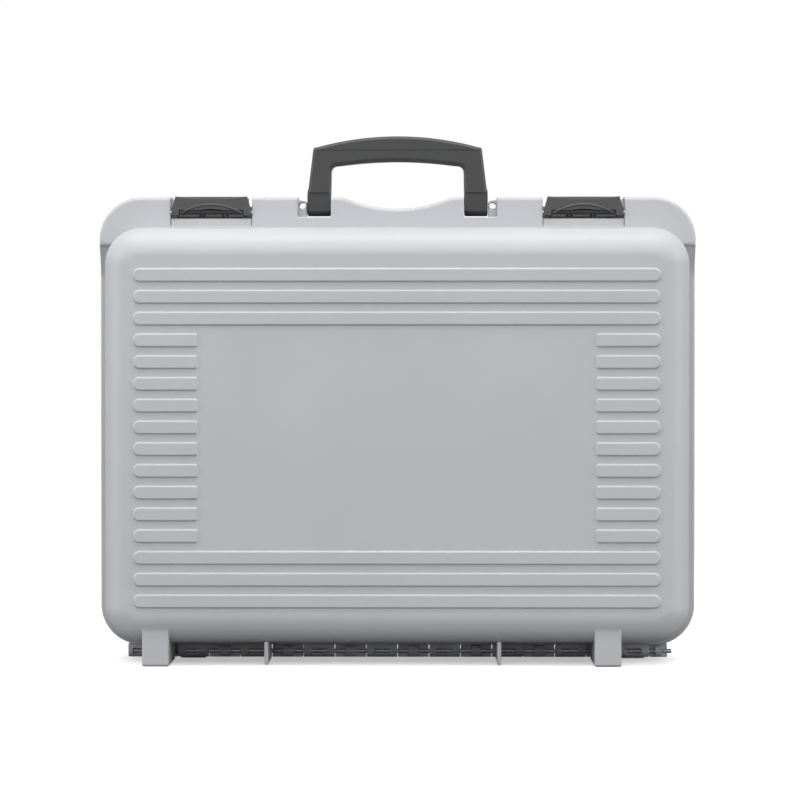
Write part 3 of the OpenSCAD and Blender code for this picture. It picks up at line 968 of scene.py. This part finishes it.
def make_lid_foam():
    """Convoluted sheet: rows of rounded peaks on a flat back, inside the lid."""
    x_pitch = 34.0
    step = 3.4
    low, high = sheet_low, sheet_high
    margin = 0.6
    x0, x1, z0, z1 = low[0] + margin, high[0] - margin, low[2] + margin, high[2] - margin
    nx, nz = round((x1 - x0) / step), round((z1 - z0) / step)
    corner = 38.0
    back, peak, valley = low[1] + 14.0, high[1], high[1] - 22.0

    def squeeze(x, z):
        """Pull the grid's corners in to the lining's rounded corners."""
        cx, cz = (x0 + x1) / 2, (z0 + z1) / 2
        dx, dz = x - cx, z - cz
        hx, hz = (x1 - x0) / 2 - corner, (z1 - z0) / 2 - corner
        ex, ez = max(0.0, abs(dx) - hx) / corner, max(0.0, abs(dz) - hz) / corner
        if ex > 0 and ez > 0:
            k = max(ex, ez) / math.hypot(ex, ez)
            dx = math.copysign(hx + ex * k * corner, dx)
            dz = math.copysign(hz + ez * k * corner, dz)
        return cx + dx, cz + dz

    verts, faces = [], []
    for j in range(nz + 1):
        for i in range(nx + 1):
            x, z = x0 + (x1 - x0) * i / nx, z0 + (z1 - z0) * j / nz
            x, z = squeeze(x, z)
            wave = 0.5 + 0.25 * (math.cos(TAU * x / x_pitch) + math.cos(TAU * z / x_pitch))
            edge = min(1.0, min(i, nx - i, j, nz - j) / 2.0)
            height = (peak - valley) * wave ** 1.15 * (0.8 + 0.2 * edge)
            verts.append((x, valley + height - 1.2 * (1 - edge), z))
    top_count = len(verts)
    for j in range(nz + 1):
        for i in range(nx + 1):
            x, z = verts[j * (nx + 1) + i][0], verts[j * (nx + 1) + i][2]
            verts.append((x, back, z))

    def at(i, j, layer):
        return layer * top_count + j * (nx + 1) + i

    for j in range(nz):
        for i in range(nx):
            faces.append((at(i, j, 0), at(i + 1, j, 0), at(i + 1, j + 1, 0), at(i, j + 1, 0)))
    ring = ([(i, 0) for i in range(nx)] + [(nx, j) for j in range(nz)]
            + [(i, nz) for i in range(nx, 0, -1)] + [(0, j) for j in range(nz, 0, -1)])
    for k, (i, j) in enumerate(ring):
        a, b = ring[(k + 1) % len(ring)]
        faces.append((at(i, j, 0), at(i, j, 1), at(a, b, 1), at(a, b, 0)))
    faces.append(tuple(at(i, j, 1) for i, j in ring))
    sheet = new_object("wave", verts, faces)
    bm = bmesh.new()
    bm.from_mesh(sheet.data)
    bmesh.ops.delete(bm, geom=[v for v in bm.verts if not v.link_faces], context="VERTS")
    bm.to_mesh(sheet.data)
    bm.free()
    place(shade(sheet, 50), "foam_lid_sheet_piece", "lid", WAVE_FOAM, ("foam_lid_sheet",))


# ---------------------------------------------------------------- scene

def area_light(name, location, target, size, power):
    data = bpy.data.lights.new(name, "AREA")
    data.shape = "RECTANGLE"
    data.size, data.size_y = size
    data.energy = power
    light = bpy.data.objects.new(name, data)
    light.location = location
    light.rotation_euler = (Vector(target) - Vector(location)).to_track_quat("-Z", "Y").to_euler()
    bpy.context.scene.collection.objects.link(light)


def make_floor():
    """Pale floor to the camera, darker to light that bounces off it."""
    bpy.ops.mesh.primitive_plane_add(size=60, location=(0, 0, 0))
    floor = bpy.context.object
    floor.name = "floor"
    material, tree, shader, _ = node_material("floor_pale")
    shader.inputs["Base Color"].default_value = (0.95, 0.95, 0.95, 1)
    shader.inputs["Roughness"].default_value = 0.9
    shader.inputs["Emission Color"].default_value = (1, 1, 1, 1)
    shader.inputs["Emission Strength"].default_value = 0.4
    dim = tree.nodes.new("ShaderNodeBsdfDiffuse")
    dim.inputs["Color"].default_value = (0.22, 0.22, 0.22, 1)
    seen = tree.nodes.new("ShaderNodeLightPath")
    mix = tree.nodes.new("ShaderNodeMixShader")
    tree.links.new(seen.outputs["Is Camera Ray"], mix.inputs["Fac"])
    tree.links.new(dim.outputs["BSDF"], mix.inputs[1])
    tree.links.new(shader.outputs["BSDF"], mix.inputs[2])
    tree.links.new(mix.outputs["Shader"], tree.nodes["Material Output"].inputs["Surface"])
    floor.data.materials.append(material)


def make_world():
    """White studio that darkens towards the zenith."""
    world = bpy.data.worlds.new("studio")
    world.use_nodes = True
    tree = world.node_tree
    background = tree.nodes["Background"]
    background.inputs["Strength"].default_value = 1.0
    coords = tree.nodes.new("ShaderNodeTexCoord")
    split = tree.nodes.new("ShaderNodeSeparateXYZ")
    tree.links.new(coords.outputs["Generated"], split.inputs["Vector"])
    greys = ((0.16, 1.0), (0.3, 0.8), (1.0, 0.5))
    sky = ramp(tree, split.outputs["Z"], [(height, (grey, grey, grey)) for height, grey in greys])
    tree.links.new(sky, background.inputs["Color"])
    bpy.context.scene.world = world
    bpy.context.scene.view_settings.view_transform = "Standard"


def make_lights():
    middle = (0, 0, 0.2)
    area_light("top", (0, -0.45, 1.9), middle, (2.0, 0.8), 27)
    area_light("front", (0, -3.6, 2.6), middle, (2.4, 1.6), 48)
    area_light("left", (-2.0, -0.6, 0.7), middle, (0.5, 1.4), 13)
    area_light("right", (2.0, -0.6, 0.7), middle, (0.5, 1.4), 13)


def make_camera():
    camera_data = bpy.data.cameras.new("camera")
    camera_data.sensor_width = 36
    camera_data.lens = 130.6
    camera = bpy.data.objects.new("camera", camera_data)
    camera.location = (0.025, -2.45, 0.235)
    aim = Vector((0.002, 0, 0.2187))
    camera.rotation_euler = (aim - camera.location).to_track_quat("-Z", "Y").to_euler()
    bpy.context.scene.collection.objects.link(camera)
    bpy.context.scene.camera = camera


make_floor()
make_world()
make_lights()
make_camera()
make_shells()
make_pins()
make_handle()
make_latch(-1, "latch_left", "latch_left")
make_latch(1, "latch_right", "latch_right")
make_tray()
make_lid_foam()
